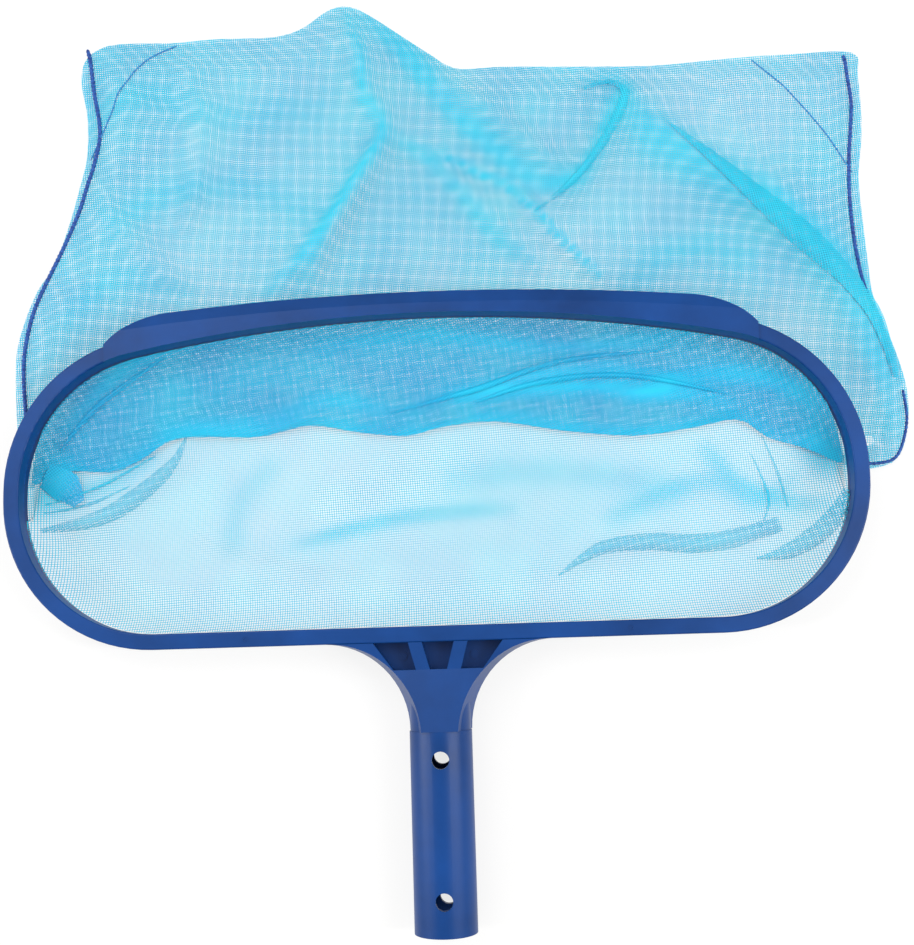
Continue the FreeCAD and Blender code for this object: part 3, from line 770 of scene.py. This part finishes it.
def overlock(name, points, radius):
    """A side seam: a dark rope of lumpy thread."""
    return seam_rope(name, points, upper_height, 0.0002, radius, ROPE, lumps=LUMPS)


def stitch(name, points):
    """A bottom-corner stitch line in thin thread."""
    return seam_rope(name, points, upper_height, 0.0004, 0.00035, FINE, lumps=FINE_LUMPS)


left_seam = overlock("side_seam_left_rope", LEFT_SEAM, 0.0010)
right_seam = overlock("side_seam_right_rope", RIGHT_SEAM, 0.0009)
hem = overlock("side_hem_stitching", HEM, 0.0007)
left_stitch = stitch("corner_stitch_left_line", LEFT_STITCH)
right_stitch = stitch("corner_stitch_right_line", RIGHT_STITCH)


# ---------------------------------------------------------------- floor, light and camera
FLOOR_GAP = 0.0005
FLOOR_HALF = 3
FLOOR_GLOW = 0.78
ROOM_LIGHT = 0.62
BAG_MIDDLE_Y = 0.18
LAMPS = [
    # name, place, width, height, watts
    ("key", (-0.6, 0.9, 1.3), 0.9, 0.9, 8),
    ("fill", (0.9, 0.4, 1.2), 0.8, 0.8, 4),
    ("strip_left", (-1.15, 0.05, 0.62), 0.10, 0.9, 7.0),
    ("strip_right", (1.0, 0.05, 0.85), 0.10, 0.9, 7.0),
]
CAMERA_TURNS = (-0.124853, -0.022755, 0.033254)
CAMERA_PLACE = (0.024585, 0.132230, 0.594905)
SENSOR = 36
LENS = 1284.295 * SENSOR / 945  # focal length in image rows, over the 945 rows of the picture


def stage_scene():
    """White paper that glows a little for the camera, a soft room and four lamps."""
    floor_mat, tree, shader = material("paper")
    shader.inputs["Base Color"].default_value = (0.93, 0.935, 0.94, 1)
    shader.inputs["Roughness"].default_value = 0.9
    out = next(n for n in tree.nodes if n.type == "OUTPUT_MATERIAL")
    glow = node(tree, "ShaderNodeEmission", Color=(1.0, 0.995, 0.985, 1), Strength=1.0)
    path = tree.nodes.new("ShaderNodeLightPath")
    seen = math_node(tree, "MAXIMUM", path.outputs["Is Camera Ray"], path.outputs["Is Glossy Ray"])
    seen = math_node(tree, "MAXIMUM", seen, path.outputs["Is Transmission Ray"])
    mix = tree.nodes.new("ShaderNodeMixShader")
    tree.links.new(math_node(tree, "MULTIPLY", seen, FLOOR_GLOW), mix.inputs[0])
    tree.links.new(shader.outputs[0], mix.inputs[1])
    tree.links.new(glow.outputs[0], mix.inputs[2])
    tree.links.new(mix.outputs[0], out.inputs[0])
    level = FLOOR_Z - FLOOR_GAP
    corners = [(x * FLOOR_HALF, y * FLOOR_HALF, level) for x, y in ((-1, -1), (1, -1), (1, 1), (-1, 1))]
    floor = new_mesh("floor", corners, [(0, 1, 2, 3)], [floor_mat], smooth=False)
    world = bpy.data.worlds.new("room")
    bpy.context.scene.world = world
    world.use_nodes = True
    background = world.node_tree.nodes["Background"]
    background.inputs[0].default_value = (1, 1, 1, 1)
    background.inputs[1].default_value = ROOM_LIGHT
    for name, place, wide, tall, power in LAMPS:
        data = bpy.data.lights.new(name, "AREA")
        data.shape = "RECTANGLE"
        data.size = wide
        data.size_y = tall
        data.energy = power
        lamp = bpy.data.objects.new(name, data)
        lamp.location = place
        aim_y = BAG_MIDDLE_Y if tall == wide else place[1]
        aim = Vector((0, aim_y, 0)) - Vector(place)
        lamp.rotation_euler = aim.to_track_quat("-Z", "Y").to_euler()
        bpy.context.scene.collection.objects.link(lamp)


def main_camera():
    """The photograph's viewpoint, fitted to the hoop's outline, the handle and its holes."""
    rx, ry, rz = CAMERA_TURNS
    turn_x = Matrix.Rotation(rx, 3, "X")
    turn_y = Matrix.Rotation(ry, 3, "Y")
    turn_z = Matrix.Rotation(rz, 3, "Z")
    world_to_camera = turn_z @ turn_y @ turn_x
    data = bpy.data.cameras.new("main")
    data.sensor_fit = "VERTICAL"
    data.sensor_height = SENSOR
    data.lens = LENS
    data.clip_start = 0.01
    eye = bpy.data.objects.new("main", data)
    place = world_to_camera.transposed().to_4x4()
    place.translation = Vector(CAMERA_PLACE)
    eye.matrix_world = place
    bpy.context.scene.collection.objects.link(eye)
    bpy.context.scene.camera = eye


stage_scene()
main_camera()
bpy.context.scene.view_settings.view_transform = "Standard"

PIECES = [
    (lower, ("bag_lower_panel",), "mesh"),
    (upper, ("bag_upper_panel",), "mesh"),
    (flap, (), "mesh"),
    (left_seam, ("side_seam_left",), "thread"),
    (right_seam, ("side_seam_right",), "thread"),
    (hem, (), "thread"),
    (left_stitch, ("corner_stitch_left",), "thread"),
    (right_stitch, ("corner_stitch_right",), "thread"),
]
for piece, stands_for, slot_name in PIECES:
    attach(piece, "root")
    if stands_for:
        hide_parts(*stands_for)
